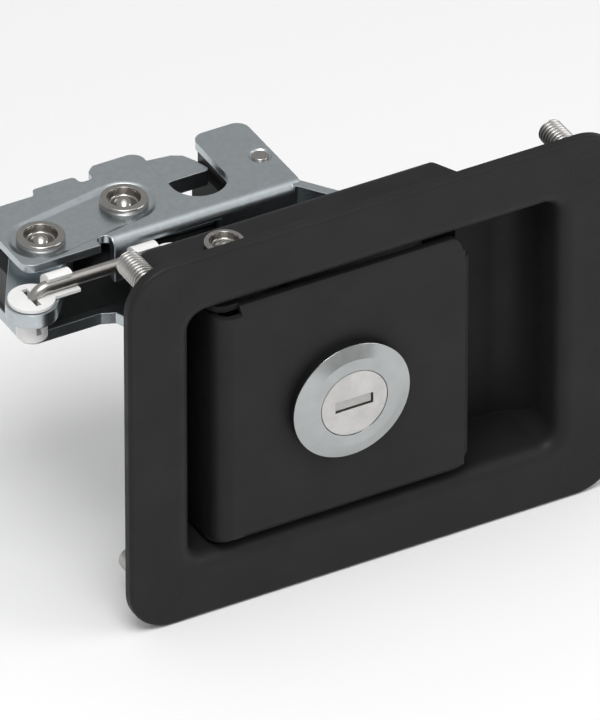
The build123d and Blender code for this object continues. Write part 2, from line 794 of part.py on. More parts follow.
with BuildPart() as latch_top_plate:
    with BuildSketch(on_z(top_plate_bottom)):
        with BuildLine():
            Polyline(
                (latch_left, latch_front),
                (latch_right, latch_front),
                *back_outline(0),
                close=True,
            )
        make_face()
    extrude(amount=top_plate_thickness)
    # soft-walled stadium recess around both rivets
    with BuildSketch(on_z(top_plate_top)):
        make_hull(
            [
                edge
                for centre in pivots
                for edge in (Pos(*centre) * Circle(rivet_pocket_radius)).edges()
            ]
        )
    extrude(amount=-rivet_pocket_depth, taper=rivet_pocket_slope, mode=Mode.SUBTRACT)
    pocket_edges = [
        edge
        for edge in latch_top_plate.edges()
        if all(
            min(hypot(corner.X - x, corner.Y - y) for x, y in pivots) < rivet_pocket_radius + 0.1
            for corner in edge.vertices()
        )
    ]
    fillet(pocket_edges, radius=rivet_pocket_round)
    # relief notch at the left end of the bend
    with BuildSketch(on_z(top_plate_bottom)):
        with Locations((flange_left - notch_width / 2, latch_front)):
            Rectangle(notch_width, 2 * (notch_length - notch_width / 2))
        with Locations((flange_left - notch_width / 2, latch_front + notch_length - notch_width / 2)):
            Circle(notch_width / 2)
    extrude(amount=top_plate_thickness, mode=Mode.SUBTRACT)
    # front flange, bent down
    with BuildSketch(on_y(latch_front + top_plate_thickness)):
        with Locations(
            ((latch_right + flange_left) / 2, (flange_bottom + top_plate_top) / 2)
        ):
            Rectangle(latch_right - flange_left, top_plate_top - flange_bottom)
        with Locations(
            (
                (clip_relief_left + clip_relief_right) / 2,
                (flange_bottom + clip_relief_top) / 2 - 1,
            )
        ):
            Rectangle(
                clip_relief_right - clip_relief_left,
                clip_relief_top - flange_bottom + 2,
                mode=Mode.SUBTRACT,
            )
    extrude(amount=top_plate_thickness)
    bend_edge = (
        latch_top_plate.edges()
        .filter_by(Axis.X)
        .filter_by_position(Axis.Z, top_plate_top - 0.01, top_plate_top + 0.01)
        .filter_by_position(Axis.Y, latch_front - 0.01, latch_front + 0.01)
        .sort_by(Axis.X)[-1]
    )
    fillet(bend_edge, radius=top_plate_thickness + 0.8)
    # strut forward to a foot on the pan's back
    with BuildSketch(on_z(strut_foot_bottom)):
        with BuildLine():
            Polyline(
                (latch_right - 2.0, latch_front + top_plate_thickness),
                (latch_right, latch_front + top_plate_thickness),
                (strut_foot_left + 1.9, pan_depth + top_plate_thickness),
                (strut_foot_right, pan_depth + top_plate_thickness),
                (strut_foot_right, pan_depth),
                (strut_foot_left + 0.6, pan_depth),
                (latch_right - 1.4, latch_front),
                (latch_right - 2.0, latch_front),
                close=True,
            )
        make_face()
    extrude(amount=strut_foot_top - strut_foot_bottom)
    add(slot_cutter(0, top_plate_bottom - 1, top_plate_thickness + 2), mode=Mode.SUBTRACT)
    with BuildSketch(on_z(top_plate_bottom - 1)):
        with Locations(*pivots):
            Circle(rivet_shaft_radius)
        with Locations((end_pin_x, end_pin_y)):
            Circle(end_pin_radius)
    extrude(amount=top_plate_thickness + 2, mode=Mode.SUBTRACT)
    # dished ring round the end pin's head
    with BuildSketch(on_z(top_plate_top)):
        with Locations((end_pin_x, end_pin_y)):
            Circle(end_pin_ring_radius)
    extrude(amount=-end_pin_ring_depth, taper=end_pin_ring_slope, mode=Mode.SUBTRACT)
    with BuildSketch(on_y(pan_depth + top_plate_thickness + 1)):
        with Locations(foot_rivets[2]):
            Circle(bracket_rivet_radius)
    extrude(amount=top_plate_thickness + 2, mode=Mode.SUBTRACT)
    round_plate_corners(latch_top_plate, top_plate_bottom, top_plate_top)
save(latch_top_plate, "latch_top_plate")

with BuildPart() as latch_bottom_plate:
    with BuildSketch(on_z(bottom_plate_bottom)):
        with BuildLine():
            Polyline(
                (latch_left, latch_front),
                (bottom_foot_left - bottom_foot_corner, latch_front),
                around(
                    bottom_foot_left - bottom_foot_corner,
                    latch_front - bottom_foot_corner,
                    bottom_foot_corner,
                    45.0,
                ),
                (bottom_foot_left, latch_front - bottom_foot_corner),
                (bottom_foot_left, pan_depth),
                (latch_right, pan_depth),
                *back_outline(0),
                close=True,
            )
        make_face()
    extrude(amount=bottom_plate_thickness)
    # foot bent down onto the pan's back
    with BuildSketch(on_y(pan_depth + bottom_plate_thickness)):
        with Locations(((bottom_foot_left + latch_right) / 2, (foot_bottom + bottom_plate_top) / 2)):
            Rectangle(latch_right - bottom_foot_left, bottom_plate_top - foot_bottom)
    extrude(amount=bottom_plate_thickness)
    foot_bend = (
        latch_bottom_plate.edges()
        .filter_by(Axis.X)
        .filter_by_position(Axis.Z, bottom_plate_top - 0.01, bottom_plate_top + 0.01)
        .filter_by_position(Axis.Y, pan_depth - 0.01, pan_depth + 0.01)
    )
    fillet(foot_bend, radius=bottom_plate_thickness + 0.8)
    foot_corners = (
        latch_bottom_plate.edges()
        .filter_by(Axis.Y)
        .filter_by_position(Axis.Z, foot_bottom - 0.01, foot_bottom + 0.01)
    )
    fillet(foot_corners, radius=3.0)
    add(slot_cutter(0, bottom_plate_bottom - 1, bottom_plate_thickness + 2), mode=Mode.SUBTRACT)
    round_plate_corners(latch_bottom_plate, bottom_plate_bottom, bottom_plate_top)
    with BuildSketch(on_z(bottom_plate_bottom - 1)):
        with Locations(*pivots):
            Circle(rivet_shaft_radius)
        with Locations((end_pin_x, end_pin_y)):
            Circle(end_pin_radius)
    extrude(amount=bottom_plate_thickness + 2, mode=Mode.SUBTRACT)
    with BuildSketch(on_y(pan_depth + bottom_plate_thickness + 1)):
        with Locations(*foot_rivets[:2]):
            Circle(bracket_rivet_radius)
    extrude(amount=bottom_plate_thickness + 2, mode=Mode.SUBTRACT)
save(latch_bottom_plate, "latch_bottom_plate")

# ---- core: nylon spacer between the plates, with a well for each spring --------------------
core_inset = 0.8
core_front = latch_front + top_plate_thickness
core_low_top = trigger_bottom - face_clearance
bumper_thickness = 1.4
well_bottom = 15.0
rotor_well_radius = 7.6
pawl_well_radius = 6.7
core_step_x = -50.5

with BuildPart() as latch_core:
    with BuildSketch(on_z(bottom_plate_top)):
        with BuildLine():
            Polyline(
                (latch_left + core_inset, core_front),
                (latch_right - core_inset, core_front),
                *back_outline(core_inset),
                close=True,
            )
        make_face()
    extrude(amount=core_top - bottom_plate_top)
    # lower shelf that leaves room for the trigger
    with BuildSketch(on_z(core_low_top)):
        with Locations(((latch_left - 5 + core_step_x) / 2, rotor_y)):
            Rectangle(core_step_x - latch_left + 5, 40)
    extrude(amount=core_top - core_low_top + 1, mode=Mode.SUBTRACT)
    # block right of the slot, up to the top plate
    with BuildSketch(on_z(core_top)):
        with Locations(
            ((slot_right + latch_right) / 2, (core_front + plate_right_back - core_inset) / 2)
        ):
            Rectangle(
                latch_right - slot_right - 2 * core_inset,
                plate_right_back - core_inset - core_front,
            )
        with Locations((rotor_x, rotor_y)):
            Circle(rotor_reach + rotor_sweep_clearance, mode=Mode.SUBTRACT)
    extrude(amount=top_plate_bottom - core_top)
    add(slot_cutter(bumper_thickness, bottom_plate_top - 1, 20), mode=Mode.SUBTRACT)
    for (well_x, well_y), well_radius in zip(pivots, (rotor_well_radius, pawl_well_radius)):
        with BuildSketch(on_z(well_bottom)):
            with Locations((well_x, well_y)):
                Circle(well_radius)
        extrude(amount=20, mode=Mode.SUBTRACT)
        with BuildSketch(on_z(bottom_plate_top - 1)):
            with Locations((well_x, well_y)):
                Circle(rivet_shaft_radius)
        extrude(amount=10, mode=Mode.SUBTRACT)
    with BuildSketch(on_z(bottom_plate_top - 1)):
        with Locations((end_pin_x, end_pin_y)):
            Circle(end_pin_radius)
    extrude(amount=30, mode=Mode.SUBTRACT)
save(latch_core, "latch_core")

# ---- bumper: rubber lining of the striker slot ---------------------------------------------
with BuildPart() as striker_bumper:
    add(slot_cutter(bumper_thickness, bottom_plate_top, core_top - bottom_plate_top))
    add(
        slot_cutter(-0.3, bottom_plate_top - 1, core_top - bottom_plate_top + 2),
        mode=Mode.SUBTRACT,
    )
    with BuildSketch(on_z(bottom_plate_top - 1)):
        with Locations((striker_x, striker_slot_back + 8.6)):
            Rectangle(40, 20)
    extrude(amount=20, mode=Mode.SUBTRACT)
save(striker_bumper, "striker_bumper")

# ---- pivot rivets: cupped collar on top, upset head below ----------------------------------
rivet_foot_height = 1.6
pocket_floor = top_plate_top - rivet_pocket_depth


def pivot_rivet(x, y):
    """Stainless rivet through both plates."""
    with BuildPart() as rivet:
        with BuildSketch(on_z(bottom_plate_bottom)):
            with Locations((x, y)):
                Circle(rivet_shaft_radius)
        extrude(amount=pocket_floor - bottom_plate_bottom)
        with BuildSketch(on_z(bottom_plate_bottom)):
            with Locations((x, y)):
                Circle(rivet_collar_radius)
        extrude(amount=-rivet_foot_height)
        fillet(rivet.edges().group_by(Axis.Z)[0], radius=0.9)
        head_section = cupped_head(
            x,
            y,
            pocket_floor,
            rivet_head_top,
            rivet_collar_radius,
            rivet_cup_radius,
            rivet_cup_depth,
            rivet_dome_radius,
        )
        revolve(head_section, axis=Axis((x, y, 0), (0, 0, 1)))
    return rivet


rotor_rivet = pivot_rivet(rotor_x, rotor_y)
save(rotor_rivet, "rotor_rivet")
pawl_rivet = pivot_rivet(pawl_x, pawl_y)
save(pawl_rivet, "pawl_rivet")

with BuildPart() as end_pin:
    with BuildSketch(on_z(bottom_plate_bottom)):
        with Locations((end_pin_x, end_pin_y)):
            Circle(end_pin_radius)
    pin_top = top_plate_top - end_pin_ring_depth
    extrude(amount=pin_top - bottom_plate_bottom)
    for side, start in ((1, pin_top), (-1, bottom_plate_bottom)):
        with BuildSketch(on_z(start)):
            with Locations((end_pin_x, end_pin_y)):
                Circle(end_pin_head_radius)
        extrude(amount=side * end_pin_head_height)
        outer_rim = end_pin.edges().group_by(Axis.Z)[-1 if side > 0 else 0]
        fillet(outer_rim, radius=0.7 * end_pin_head_height)
save(end_pin, "end_pin")

# ---- bracket rivets: hold both latch feet to the pan's back --------------------------------
with BuildPart() as bracket_rivets:
    for place, grip in zip(
        foot_rivets, (bottom_plate_thickness, bottom_plate_thickness, top_plate_thickness)
    ):
        with BuildSketch(on_y(pan_depth + grip)):
            with Locations(place):
                Circle(bracket_rivet_radius)
        extrude(amount=grip + pan_sheet)
        with BuildSketch(on_y(pan_floor_y)):
            with Locations(place):
                Circle(bracket_head_radius)
        extrude(amount=bracket_head_height, taper=25)
        with BuildSketch(on_y(pan_depth + grip)):
            with Locations(place):
                Circle(bracket_head_radius)
        extrude(amount=-bracket_head_height, taper=25)
save(bracket_rivets, "bracket_rivets")

# ---- rotor: hook, throat and lower jaw round the striker, with a tooth for the pawl --------
rotor_sleeve_radius = 5.2


with BuildPart() as rotor:
    tooth_end = around(rotor_x, rotor_y, rotor_tooth_radius, rotor_tooth_end)
    tooth_start = around(rotor_x, rotor_y, rotor_tooth_radius, rotor_tooth_start)
    hub_end = around(rotor_x, rotor_y, rotor_hub_radius, rotor_tooth_end)
    hub_start = around(rotor_x, rotor_y, rotor_hub_radius, rotor_hub_end)
    nose = around(rotor_x, rotor_y, rotor_reach, rotor_nose_angle)
    jaw = around(rotor_x, rotor_y, rotor_reach, rotor_jaw_angle)
    with BuildSketch(on_z(rotor_bottom)):
        with BuildLine():
            ThreePointArc(
                tooth_start,
                around(
                    rotor_x,
                    rotor_y,
                    rotor_tooth_radius,
                    (rotor_tooth_start + rotor_tooth_end) / 2,
                ),
                tooth_end,
            )
            Line(tooth_end, hub_end)
            ThreePointArc(
                hub_end,
                around(rotor_x, rotor_y, rotor_hub_radius, rotor_hub_middle),
                hub_start,
            )
            Polyline(
                hub_start,
                around(rotor_x, rotor_y, rotor_heel_radius, rotor_heel_angle),
                around(rotor_x, rotor_y, rotor_reach - 0.8, rotor_jaw_angle - 3.5),
                jaw,
            )
            ThreePointArc(jaw, (rotor_x + rotor_reach, rotor_y), nose)
            Polyline(
                nose,
                around(rotor_x, rotor_y, rotor_reach - 1.2, rotor_nose_angle + 5.5),
                around(rotor_x, rotor_y, rotor_back_radius, rotor_back_angle),
                tooth_start,
            )
        make_face()
        # throat that holds the striker, open to the right
        throat_width = 2 * rotor_reach
        with Locations(
            (
                rotor_x + throat_left + throat_width / 2,
                rotor_y + (throat_top + throat_bottom) / 2,
            )
        ):
            RectangleRounded(
                throat_width, throat_top - throat_bottom, throat_corner, mode=Mode.SUBTRACT
            )
        with Locations((rotor_x, rotor_y)):
            Circle(rotor_sleeve_radius, mode=Mode.SUBTRACT)
    extrude(amount=rotor_top - rotor_bottom)
    lip_corners = [
        edge
        for edge in rotor.edges().filter_by(Axis.Z)
        if edge.center().X > rotor_x + rotor_reach - 2.5
    ]
    fillet(lip_corners, radius=0.9)
save(rotor, "rotor")

with BuildPart() as rotor_sleeve:
    with BuildSketch(on_z(rotor_bottom)):
        with Locations((rotor_x, rotor_y)):
            Circle(rotor_sleeve_radius)
            Circle(rivet_shaft_radius + running_clearance, mode=Mode.SUBTRACT)
    extrude(amount=rotor_top - rotor_bottom)
save(rotor_sleeve, "rotor_sleeve")

rotor_spring_radius = 5.8
rotor_spring_wire = 0.8
pawl_spring_radius = 5.3
pawl_spring_wire = 0.6

rotor_spring = torsion_spring(
    rotor_x,
    rotor_y,
    well_bottom + rotor_spring_wire + face_clearance,
    rotor_spring_radius,
    rotor_spring_wire,
    spring_turns,
    (
        rotor_x + rotor_spring_radius,
        rotor_y - rotor_spring_radius / 2,
        well_bottom + rotor_spring_wire + face_clearance,
    ),
    (rotor_x + rotor_spring_radius, rotor_y, core_top - face_clearance),
)
save(rotor_spring, "rotor_spring")

pawl_spring = torsion_spring(
    pawl_x,
    pawl_y,
    well_bottom + pawl_spring_wire + face_clearance,
    pawl_spring_radius,
    pawl_spring_wire,
    spring_turns,
    (
        pawl_x + pawl_spring_radius,
        pawl_y - pawl_spring_radius / 2.5,
        well_bottom + pawl_spring_wire + face_clearance,
    ),
    (pawl_x + pawl_spring_radius, pawl_y, core_low_top - face_clearance),
)
save(pawl_spring, "pawl_spring")

# ---- trigger lever and pawl, riveted together on one pivot ---------------------------------
trigger_hole_radius = clip_boss_radius + 0.6
pawl_top = 29.1

with BuildPart() as trigger_lever:
    with BuildSketch(on_z(trigger_bottom)):
        with Locations((rod_left_x, rod_y)):
            Circle(trigger_end_radius)
        with Locations((pawl_x, pawl_y)):
            Circle(trigger_hub_radius)
        make_hull()
        with Locations((rod_left_x, rod_y)):
            Circle(trigger_hole_radius, mode=Mode.SUBTRACT)
        with Locations((pawl_x, pawl_y)):
            Circle(rivet_shaft_radius + running_clearance, mode=Mode.SUBTRACT)
    extrude(amount=trigger_thickness)
save(trigger_lever, "trigger_lever")

with BuildPart() as pawl:
    with BuildSketch(on_z(trigger_top)):
        with BuildLine():
            Polyline(
                around(pawl_x, pawl_y, trigger_hub_radius - 0.5, 110.0),
                around(rotor_x, rotor_y, pawl_tip_radius + 3.6, pawl_face_angle),
                around(rotor_x, rotor_y, pawl_tip_radius, pawl_face_angle),
                around(pawl_x, pawl_y, trigger_hub_radius - 0.5, -10.0),
                (pawl_x, pawl_y),
                close=True,
            )
        make_face()
        with Locations((pawl_x, pawl_y)):
            Circle(trigger_hub_radius - 0.5)
            Circle(rivet_shaft_radius + running_clearance, mode=Mode.SUBTRACT)
    extrude(amount=pawl_top - trigger_top)
save(pawl, "pawl")

# ---- link rod and its two clips ------------------------------------------------------------
def rod_sweep(radius):
    """The rod's bent round bar, at the given radius."""
    with BuildPart(mode=Mode.PRIVATE) as bar:
        with BuildLine() as path:
            FilletPolyline(
                (rod_left_x, rod_y, rod_leg_bottom),
                (rod_left_x, rod_y, rod_z),
                (rod_right_x, rod_y, rod_z),
                (rod_right_x, rod_y, rod_leg_bottom),
                radius=rod_bend_radius,
            )
        with BuildSketch(on_z(rod_leg_bottom).shift_origin((rod_left_x, rod_y, rod_leg_bottom))):
            Circle(radius)
        sweep(path=path.line)
    return bar.part


with BuildPart() as link_rod:
    add(rod_sweep(rod_radius))
    chamfer(link_rod.edges().group_by(Axis.Z)[0], length=0.3)
save(link_rod, "link_rod")

clip_snap_start = 3.7
clip_snap_end = 9.5
clip_tongue_end = 11.0
clip_snap_radius = 3.0
clip_snap_lip_angle = 116.0
clip_tongue_width = 4.4


def rod_clip(x, along, disc_radius):
    """Snap clip on one end of the rod; along is +1 or -1, towards the other end."""
    with BuildPart() as clip:
        with BuildSketch(on_z(clip_disc_bottom)):
            with Locations((x, rod_y)):
                Circle(disc_radius)
            with Locations((x + along * clip_tongue_end / 2, rod_y)):
                Rectangle(clip_tongue_end, clip_tongue_width)
        extrude(amount=clip_disc_thickness)
        with BuildSketch(on_z(clip_boss_bottom)):
            with Locations((x, rod_y)):
                Circle(clip_boss_radius)
        extrude(amount=clip_disc_bottom - clip_boss_bottom)
        chamfer(clip.edges().group_by(Axis.Z)[0], length=0.5)
        # slit across the disc and down both sides of the boss
        with BuildSketch(on_z(clip_slit_bottom)):
            with Locations((x, rod_y)):
                Rectangle(clip_slit_width, 2 * clip_boss_radius)
        extrude(amount=rod_z - clip_slit_bottom, mode=Mode.SUBTRACT)
        # C-shaped snap over the back and top of the rod
        with BuildSketch(Plane.YZ.offset(x + along * clip_snap_start)):
            with Locations((rod_y, rod_z)):
                Circle(clip_snap_radius)
            Polygon(
                (rod_y, rod_z),
                around(rod_y, rod_z, 3 * clip_snap_radius, clip_snap_lip_angle),
                (rod_y - 3 * clip_snap_radius, rod_z - 3 * clip_snap_radius),
                (rod_y, rod_z - 3 * clip_snap_radius),
                align=None,
                mode=Mode.SUBTRACT,
            )
            with Locations((rod_y, clip_disc_bottom - clip_snap_radius)):
                Rectangle(4 * clip_snap_radius, 2 * clip_snap_radius, mode=Mode.SUBTRACT)
        extrude(amount=along * (clip_snap_end - clip_snap_start))
        add(rod_sweep(rod_radius), mode=Mode.SUBTRACT)
    return clip


trigger_clip = rod_clip(rod_left_x, 1, trigger_clip_radius)
save(trigger_clip, "trigger_clip")
paddle_clip = rod_clip(rod_right_x, -1, paddle_clip_radius)
save(paddle_clip, "paddle_clip")
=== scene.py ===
# Looks of the paddle latch: materials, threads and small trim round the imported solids,
# with a pale floor, soft studio light and the camera. Units are metres.

import json
import math

import bmesh
import bpy
from mathutils import Matrix, Vector


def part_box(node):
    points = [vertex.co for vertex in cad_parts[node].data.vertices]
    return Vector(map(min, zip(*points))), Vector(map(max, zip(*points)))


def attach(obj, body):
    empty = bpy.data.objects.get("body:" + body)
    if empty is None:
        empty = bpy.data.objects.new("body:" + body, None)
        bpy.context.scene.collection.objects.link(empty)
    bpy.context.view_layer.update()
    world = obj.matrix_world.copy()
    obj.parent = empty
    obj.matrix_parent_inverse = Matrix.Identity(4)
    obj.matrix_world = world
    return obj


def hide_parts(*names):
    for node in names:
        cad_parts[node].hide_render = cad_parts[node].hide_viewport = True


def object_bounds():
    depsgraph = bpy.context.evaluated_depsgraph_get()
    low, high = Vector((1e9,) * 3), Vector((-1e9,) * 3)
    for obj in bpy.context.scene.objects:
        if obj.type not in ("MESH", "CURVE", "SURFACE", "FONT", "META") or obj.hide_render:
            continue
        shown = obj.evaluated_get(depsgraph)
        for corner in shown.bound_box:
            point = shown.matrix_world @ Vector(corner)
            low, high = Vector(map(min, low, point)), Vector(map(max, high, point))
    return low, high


MM = 0.001

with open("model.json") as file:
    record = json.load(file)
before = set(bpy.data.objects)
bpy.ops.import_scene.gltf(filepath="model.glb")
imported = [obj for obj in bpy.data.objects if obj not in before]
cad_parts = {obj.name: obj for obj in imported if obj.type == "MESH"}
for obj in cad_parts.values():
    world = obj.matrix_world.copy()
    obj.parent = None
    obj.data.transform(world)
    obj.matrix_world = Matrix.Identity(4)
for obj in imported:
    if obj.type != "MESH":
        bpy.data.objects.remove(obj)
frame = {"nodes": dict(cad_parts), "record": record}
cad_low, cad_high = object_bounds()
nodes = frame["nodes"]
scene = bpy.context.scene


# ---- materials ----------------------------------------------------------------------------
class Shader:
    """A procedural material: its node tree, its main shader and the object's own coordinates."""

    def __init__(self, name, colour, roughness, metallic=0.0):
        self.material = bpy.data.materials.new(name)
        self.material.use_nodes = True
        self.tree = self.material.node_tree
        self.main = self.tree.nodes["Principled BSDF"]
        self.main.inputs["Metallic"].default_value = metallic
        self.main.inputs["Roughness"].default_value = roughness
        self.main.inputs["Base Color"].default_value = (*colour, 1.0)
        self.coords = self.tree.nodes.new("ShaderNodeTexCoord").outputs["Object"]

    def node(self, kind, **settings):
        made = self.tree.nodes.new(kind)
        for key, value in settings.items():
            setattr(made, key, value)
        return made

    def link(self, source, target):
        self.tree.links.new(source, target)

    def noise(self, size, detail=4.0, roughness=0.55):
        """Noise whose features are about the given size in metres."""
        made = self.node("ShaderNodeTexNoise")
        made.inputs["Scale"].default_value = 1.0 / size
        made.inputs["Detail"].default_value = detail
        made.inputs["Roughness"].default_value = roughness
        self.link(self.coords, made.inputs["Vector"])
        return made.outputs["Fac"]

    def vary_colour(self, mask, low, high):
        """Base colour between two shades, by a mask that mostly stays near its middle."""
        ramp = self.node("ShaderNodeValToRGB")
        for stop, position, colour in zip(ramp.color_ramp.elements, (0.32, 0.68), (low, high)):
            stop.position = position
            stop.color = (*colour, 1.0)
        self.link(mask, ramp.inputs["Fac"])
        self.link(ramp.outputs["Color"], self.main.inputs["Base Color"])

    def vary_roughness(self, mask, low, high):
        """Roughness between two values, by a mask that mostly stays near its middle."""
        spread = self.node("ShaderNodeMapRange")
        spread.inputs["From Min"].default_value = 0.3
        spread.inputs["From Max"].default_value = 0.7
        spread.inputs["To Min"].default_value = low
        spread.inputs["To Max"].default_value = high
        self.link(mask, spread.inputs["Value"])
        self.link(spread.outputs["Result"], self.main.inputs["Roughness"])

    def relief(self, height, strength, distance, edge):
        """Fine surface relief, over edges that look rounded by the given radius."""
        bump = self.node("ShaderNodeBump")
        bump.inputs["Strength"].default_value = strength
        bump.inputs["Distance"].default_value = distance
        self.link(height, bump.inputs["Height"])
        bevel = self.node("ShaderNodeBevel", samples=8)
        bevel.inputs["Radius"].default_value = edge
        self.link(bevel.outputs["Normal"], bump.inputs["Normal"])
        self.link(bump.outputs["Normal"], self.main.inputs["Normal"])

    def gloss(self, level):
        self.main.inputs["Specular IOR Level"].default_value = level


def shade(colour, factor):
    """A colour made darker or lighter by a factor."""
    return tuple(channel * factor for channel in colour)


def powder_coat(name, colour, roughness):
    """Fine-textured black powder coat on steel."""
    made = Shader(name, colour, roughness)
    made.vary_colour(made.noise(12 * MM), shade(colour, 0.9), shade(colour, 1.1))
    made.vary_roughness(made.noise(4 * MM), roughness - 0.05, roughness + 0.06)
    texture = made.noise(0.45 * MM, detail=3.0)
    made.relief(texture, strength=0.12, distance=0.06 * MM, edge=0.25 * MM)
    made.gloss(0.15)
    return made.material


def plated(name, colour, roughness, size=6 * MM, edge=0.3 * MM, detail=3.0, bump=0.03):
    """Plated or polished metal with a faint cloud, a finer grain and softened edges."""
    made = Shader(name, colour, roughness, metallic=1.0)
    cloud = made.noise(size, detail=detail, roughness=0.72)
    made.vary_colour(cloud, shade(colour, 0.92), shade(colour, 1.07))
    made.vary_roughness(made.noise(size / 8), roughness - 0.02, roughness + 0.03)
    made.relief(made.noise(size / 16), strength=bump, distance=0.01 * MM, edge=edge)
    return made.material


def plastic(name, colour, roughness, gloss=0.5, bloom=0.0):
    """Moulded plastic or rubber with a fine grain; bloom lets a little light under the skin."""
    made = Shader(name, colour, roughness)
    made.vary_colour(made.noise(5 * MM), shade(colour, 0.95), shade(colour, 1.03))
    made.vary_roughness(made.noise(2 * MM), roughness - 0.05, roughness + 0.05)
    made.relief(made.noise(0.6 * MM), strength=0.1, distance=0.04 * MM, edge=0.15 * MM)
    made.gloss(gloss)
    if bloom:
        made.main.inputs["Subsurface Weight"].default_value = bloom
        made.main.inputs["Subsurface Radius"].default_value = (1.2 * MM, 1.1 * MM, 1.0 * MM)
    return made.material


MATERIALS = {
    "black_steel": powder_coat("black_powder_coat", (0.0175, 0.0175, 0.018), 0.48),
    "stainless": plated(
        "stainless_steel", (0.4, 0.385, 0.365), 0.16, size=3 * MM, edge=0.1 * MM, bump=0.01
    ),
    "white_nylon": plastic("white_nylon", (0.82, 0.82, 0.81), 0.38, bloom=0.15),
    "spring_steel": plated("spring_wire", (0.4, 0.4, 0.41), 0.3, size=2 * MM),
    "zinc_plate": plated(
        "zinc_plate",
        (0.5, 0.545, 0.565),
        0.3,
        size=1.6 * MM,
        edge=0.35 * MM,
        detail=6.0,
        bump=0.01,
    ),
    "black_nylon": plastic("black_nylon", (0.015, 0.015, 0.0155), 0.42, gloss=0.35),
    "black_rubber": plastic("black_rubber", (0.006, 0.006, 0.0065), 0.6, gloss=0.2),
    "chrome_cast": plated("satin_chrome", (0.43, 0.445, 0.445), 0.18, size=8 * MM, bump=0.005),
    "plug_metal": plated("satin_nickel", (0.58, 0.57, 0.56), 0.36, size=4 * MM, bump=0.01),
    "polished_rod": plated("polished_rod", (0.44, 0.425, 0.405), 0.3, size=4 * MM, bump=0.01),
}
# threads need sharper edges than other stainless pieces
STUD_STEEL = plated(
    "stud_steel", (0.48, 0.47, 0.455), 0.33, size=3 * MM, edge=0.03 * MM, bump=0.01
)
# painted shade: the key shutter's steel is darker than the plug's nickel, standing for the shade
# down in the key slot
SHADED_SHUTTER_STEEL = plated("shutter_steel_painted_shade", (0.46, 0.45, 0.44), 0.4, size=3 * MM, bump=0.01)


def finish(node, material):
    """Put one material on a CAD node."""
    node.data.materials.clear()
    node.data.materials.append(material)


for part in frame["record"]["subparts"]:
    finish(nodes[part["node"]], MATERIALS[part["material_slot"]])
finish(nodes["key_shutter"], SHADED_SHUTTER_STEEL)


# ---- mesh helpers -------------------------------------------------------------------------
def piece(name, mesh, material, body):
    """A smooth-shaded mesh as a named piece that rides on a CAD body, with its slot."""
    made = bpy.data.objects.new(name, mesh)
    scene.collection.objects.link(made)
    mesh.materials.append(material)
    mesh.polygons.foreach_set("use_smooth", [True] * len(mesh.polygons))
    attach(made, body)
    return made


def mesh_of(name, points, faces):
    mesh = bpy.data.meshes.new(name)
    mesh.from_pydata(points, [], faces)
    return mesh


def arc(centre, radius, start, end, steps):
    """Points along an arc in a half section, from start to end in degrees."""
    made = []
    for step in range(steps + 1):
        angle = math.radians(start + (end - start) * step / steps)
        made.append(
            (centre[0] + radius * math.cos(angle), centre[1] + radius * math.sin(angle))
        )
    return made


def turned_faces(sides, count):
    """Four-sided faces between the neighbouring copies of a section of points, all round."""
    faces = []
    for side in range(sides):
        for step in range(count - 1):
            a = side * count + step
            b = (side + 1) % sides * count + step
            faces.append((a, a + 1, b + 1, b))
    return faces


def turned(name, profile, x, y, sides=96):
    """Mesh of a half section of (radius, z) points turned about an upright axis."""
    points = []
    for side in range(sides):
        angle = 2.0 * math.pi * side / sides
        for reach, z in profile:
            points.append((x + reach * math.cos(angle), y + reach * math.sin(angle), z))
    mesh = mesh_of(name, points, turned_faces(sides, len(profile)))
    shared = bmesh.new()
    shared.from_mesh(mesh)
    bmesh.ops.remove_doubles(shared, verts=shared.verts, dist=1e-7)
    bmesh.ops.recalc_face_normals(shared, faces=shared.faces)
    shared.to_mesh(mesh)
    shared.free()
    return mesh


def ring_mesh(name, radius, width, height, place, sides=72):
    """Low ring round a place, raised toward the front (-Y) from a face there."""
    profile = ((-width / 2, 0.0), (-width / 6, height), (width / 6, height), (width / 2, 0.0))
    points = []
    for side in range(sides):
        angle = 2.0 * math.pi * side / sides
        for across, rise in profile:
            reach = radius + across
            points.append(
                place + Vector((reach * math.cos(angle), -rise, reach * math.sin(angle)))
            )
    return mesh_of(name, points, turned_faces(sides, len(profile)))


def round_bar(name, path, radius, sides=40):
    """Round bar along a path in a plane of constant Y, with flat ends."""
    points = []
    for index, place in enumerate(path):
        before = path[max(index - 1, 0)]
        after = path[min(index + 1, len(path) - 1)]
        along = (after - before).normalized()
        across = Vector((along.z, 0.0, -along.x))
        for side in range(sides):
            angle = 2.0 * math.pi * side / sides
            points.append(
                place
                + across * (radius * math.cos(angle))
                + Vector((0.0, radius * math.sin(angle), 0.0))
            )
    faces = []
    for index in range(len(path) - 1):
        for side in range(sides):
            a = index * sides + side
            b = index * sides + (side + 1) % sides
            faces.append((a, b, b + sides, a + sides))
    faces.append(tuple(range(sides)))
    faces.append(tuple(range(len(points) - 1, len(points) - 1 - sides, -1)))
    return mesh_of(name, points, faces)


def turned_thread(name, radius, depth, pitch, start, end, chamfer, sides=64, rows_per_turn=12):
    """Threaded rod along +Y about the origin: a rounded helical ridge with a chamfered end."""
    rows = int((end - start) / pitch * rows_per_turn)
    points = []
    for row in range(rows + 1):
        y = start + (end - start) * row / rows
        limit = radius - max(0.0, chamfer - (end - y))
        for side in range(sides):
            turn = side / sides
            phase = (y / pitch - turn) % 1.0
            ridge = 0.5 + 0.5 * math.cos(2.0 * math.pi * phase)
            reach = min(limit, radius - depth * (1.0 - ridge))
            angle = 2.0 * math.pi * turn
            points.append((reach * math.cos(angle), y, reach * math.sin(angle)))
    faces = []
    for row in range(rows):
        for side in range(sides):
            a = row * sides + side
            b = row * sides + (side + 1) % sides
            faces.append((a, a + sides, b + sides, b))
    faces.append(tuple(range(sides)))
    faces.append(tuple(range(rows * sides + sides - 1, rows * sides - 1, -1)))
    mesh = mesh_of(name, points, faces)
    mesh.validate()
    return mesh


